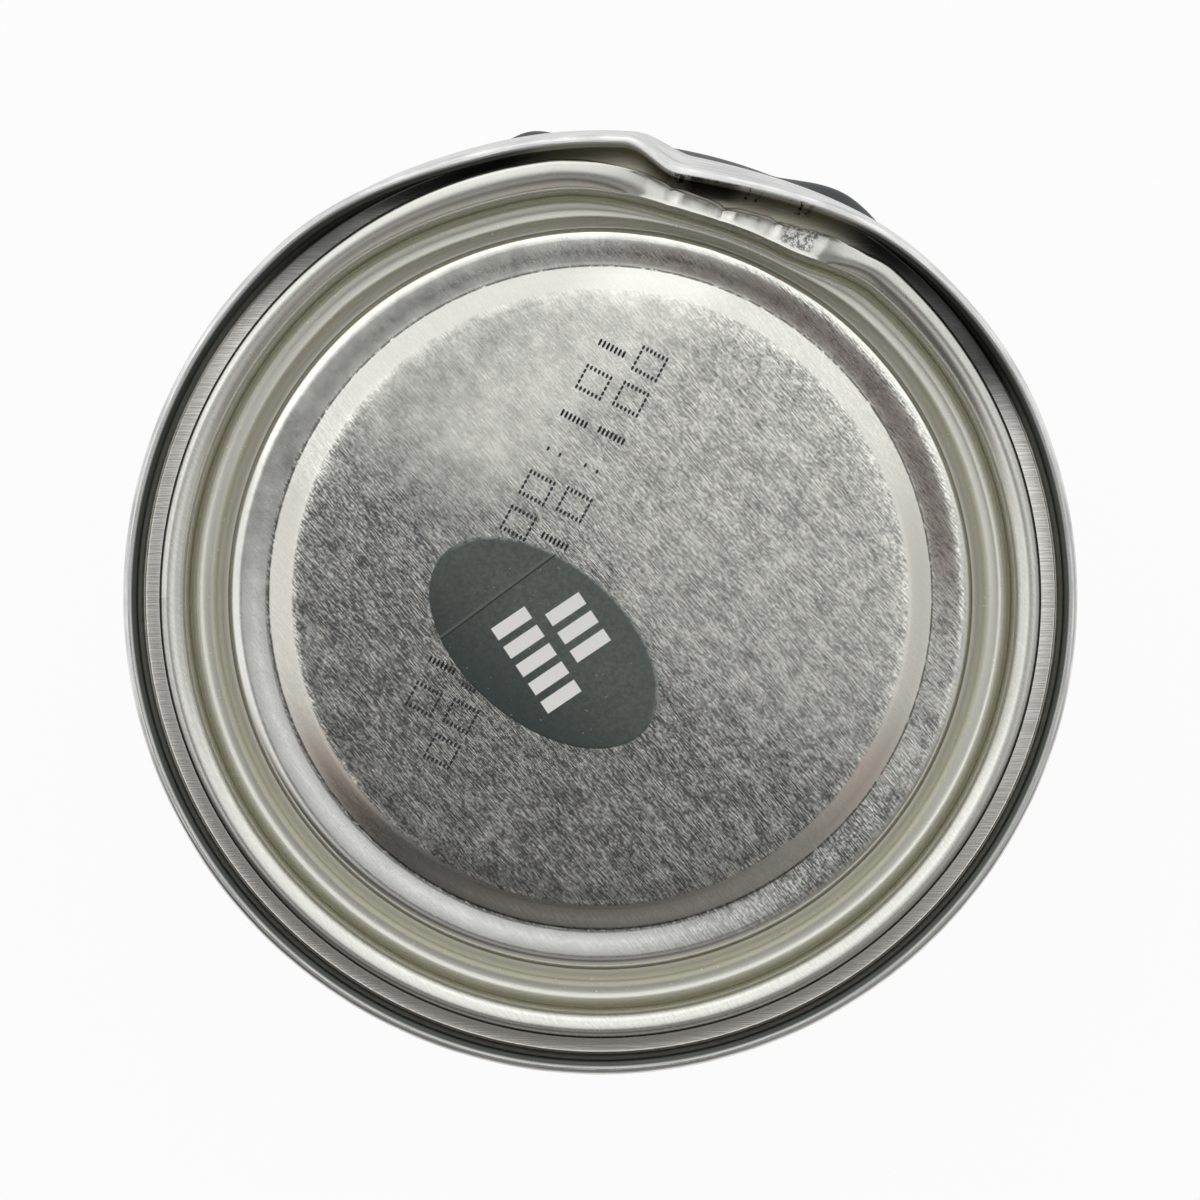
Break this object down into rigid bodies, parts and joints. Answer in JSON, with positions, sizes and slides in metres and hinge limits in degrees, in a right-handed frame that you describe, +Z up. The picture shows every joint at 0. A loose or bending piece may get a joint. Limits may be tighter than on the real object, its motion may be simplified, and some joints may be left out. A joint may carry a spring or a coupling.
{
  "type": "lever-lid tin",
  "caption": "Round tinplate tin with a press-in lever lid, double-seamed ends, a dented rim and an oval label on the lid.",
  "frame": {"origin": "middle of the base, on the face of the bottom seam", "axes": "+Z up along the tin's axis, towards the lid; the dent lies towards +Y"},
  "size_m": [0.101, 0.1013, 0.119],
  "materials": {
    "coated_plate": "satin dark coating on tinplate",
    "tinplate": "bright rolled tinplate",
    "lacquered_tinplate": "tinplate with a faint straw-coloured lacquer",
    "lid_tinplate": "tinplate with diagonal rolling grain, straw-tinted in the groove",
    "sealing_compound": "matt",
    "label_film": "satin printed film"
  },
  "bodies": {
    "can": {"can_body": "coated_plate", "bottom_end": "tinplate", "top_ring": "lacquered_tinplate", "top_seam_compound": "sealing_compound", "bottom_seam_compound": "sealing_compound"},
    "lid": {"lid": "lid_tinplate", "lid_label": "label_film"}
  },
  "joints": [
    {"name": "lid_lift", "type": "slide", "parent": "can", "child": "lid", "axis": [0, 0, 1], "range_m": [0, 0.06]}
  ]
}
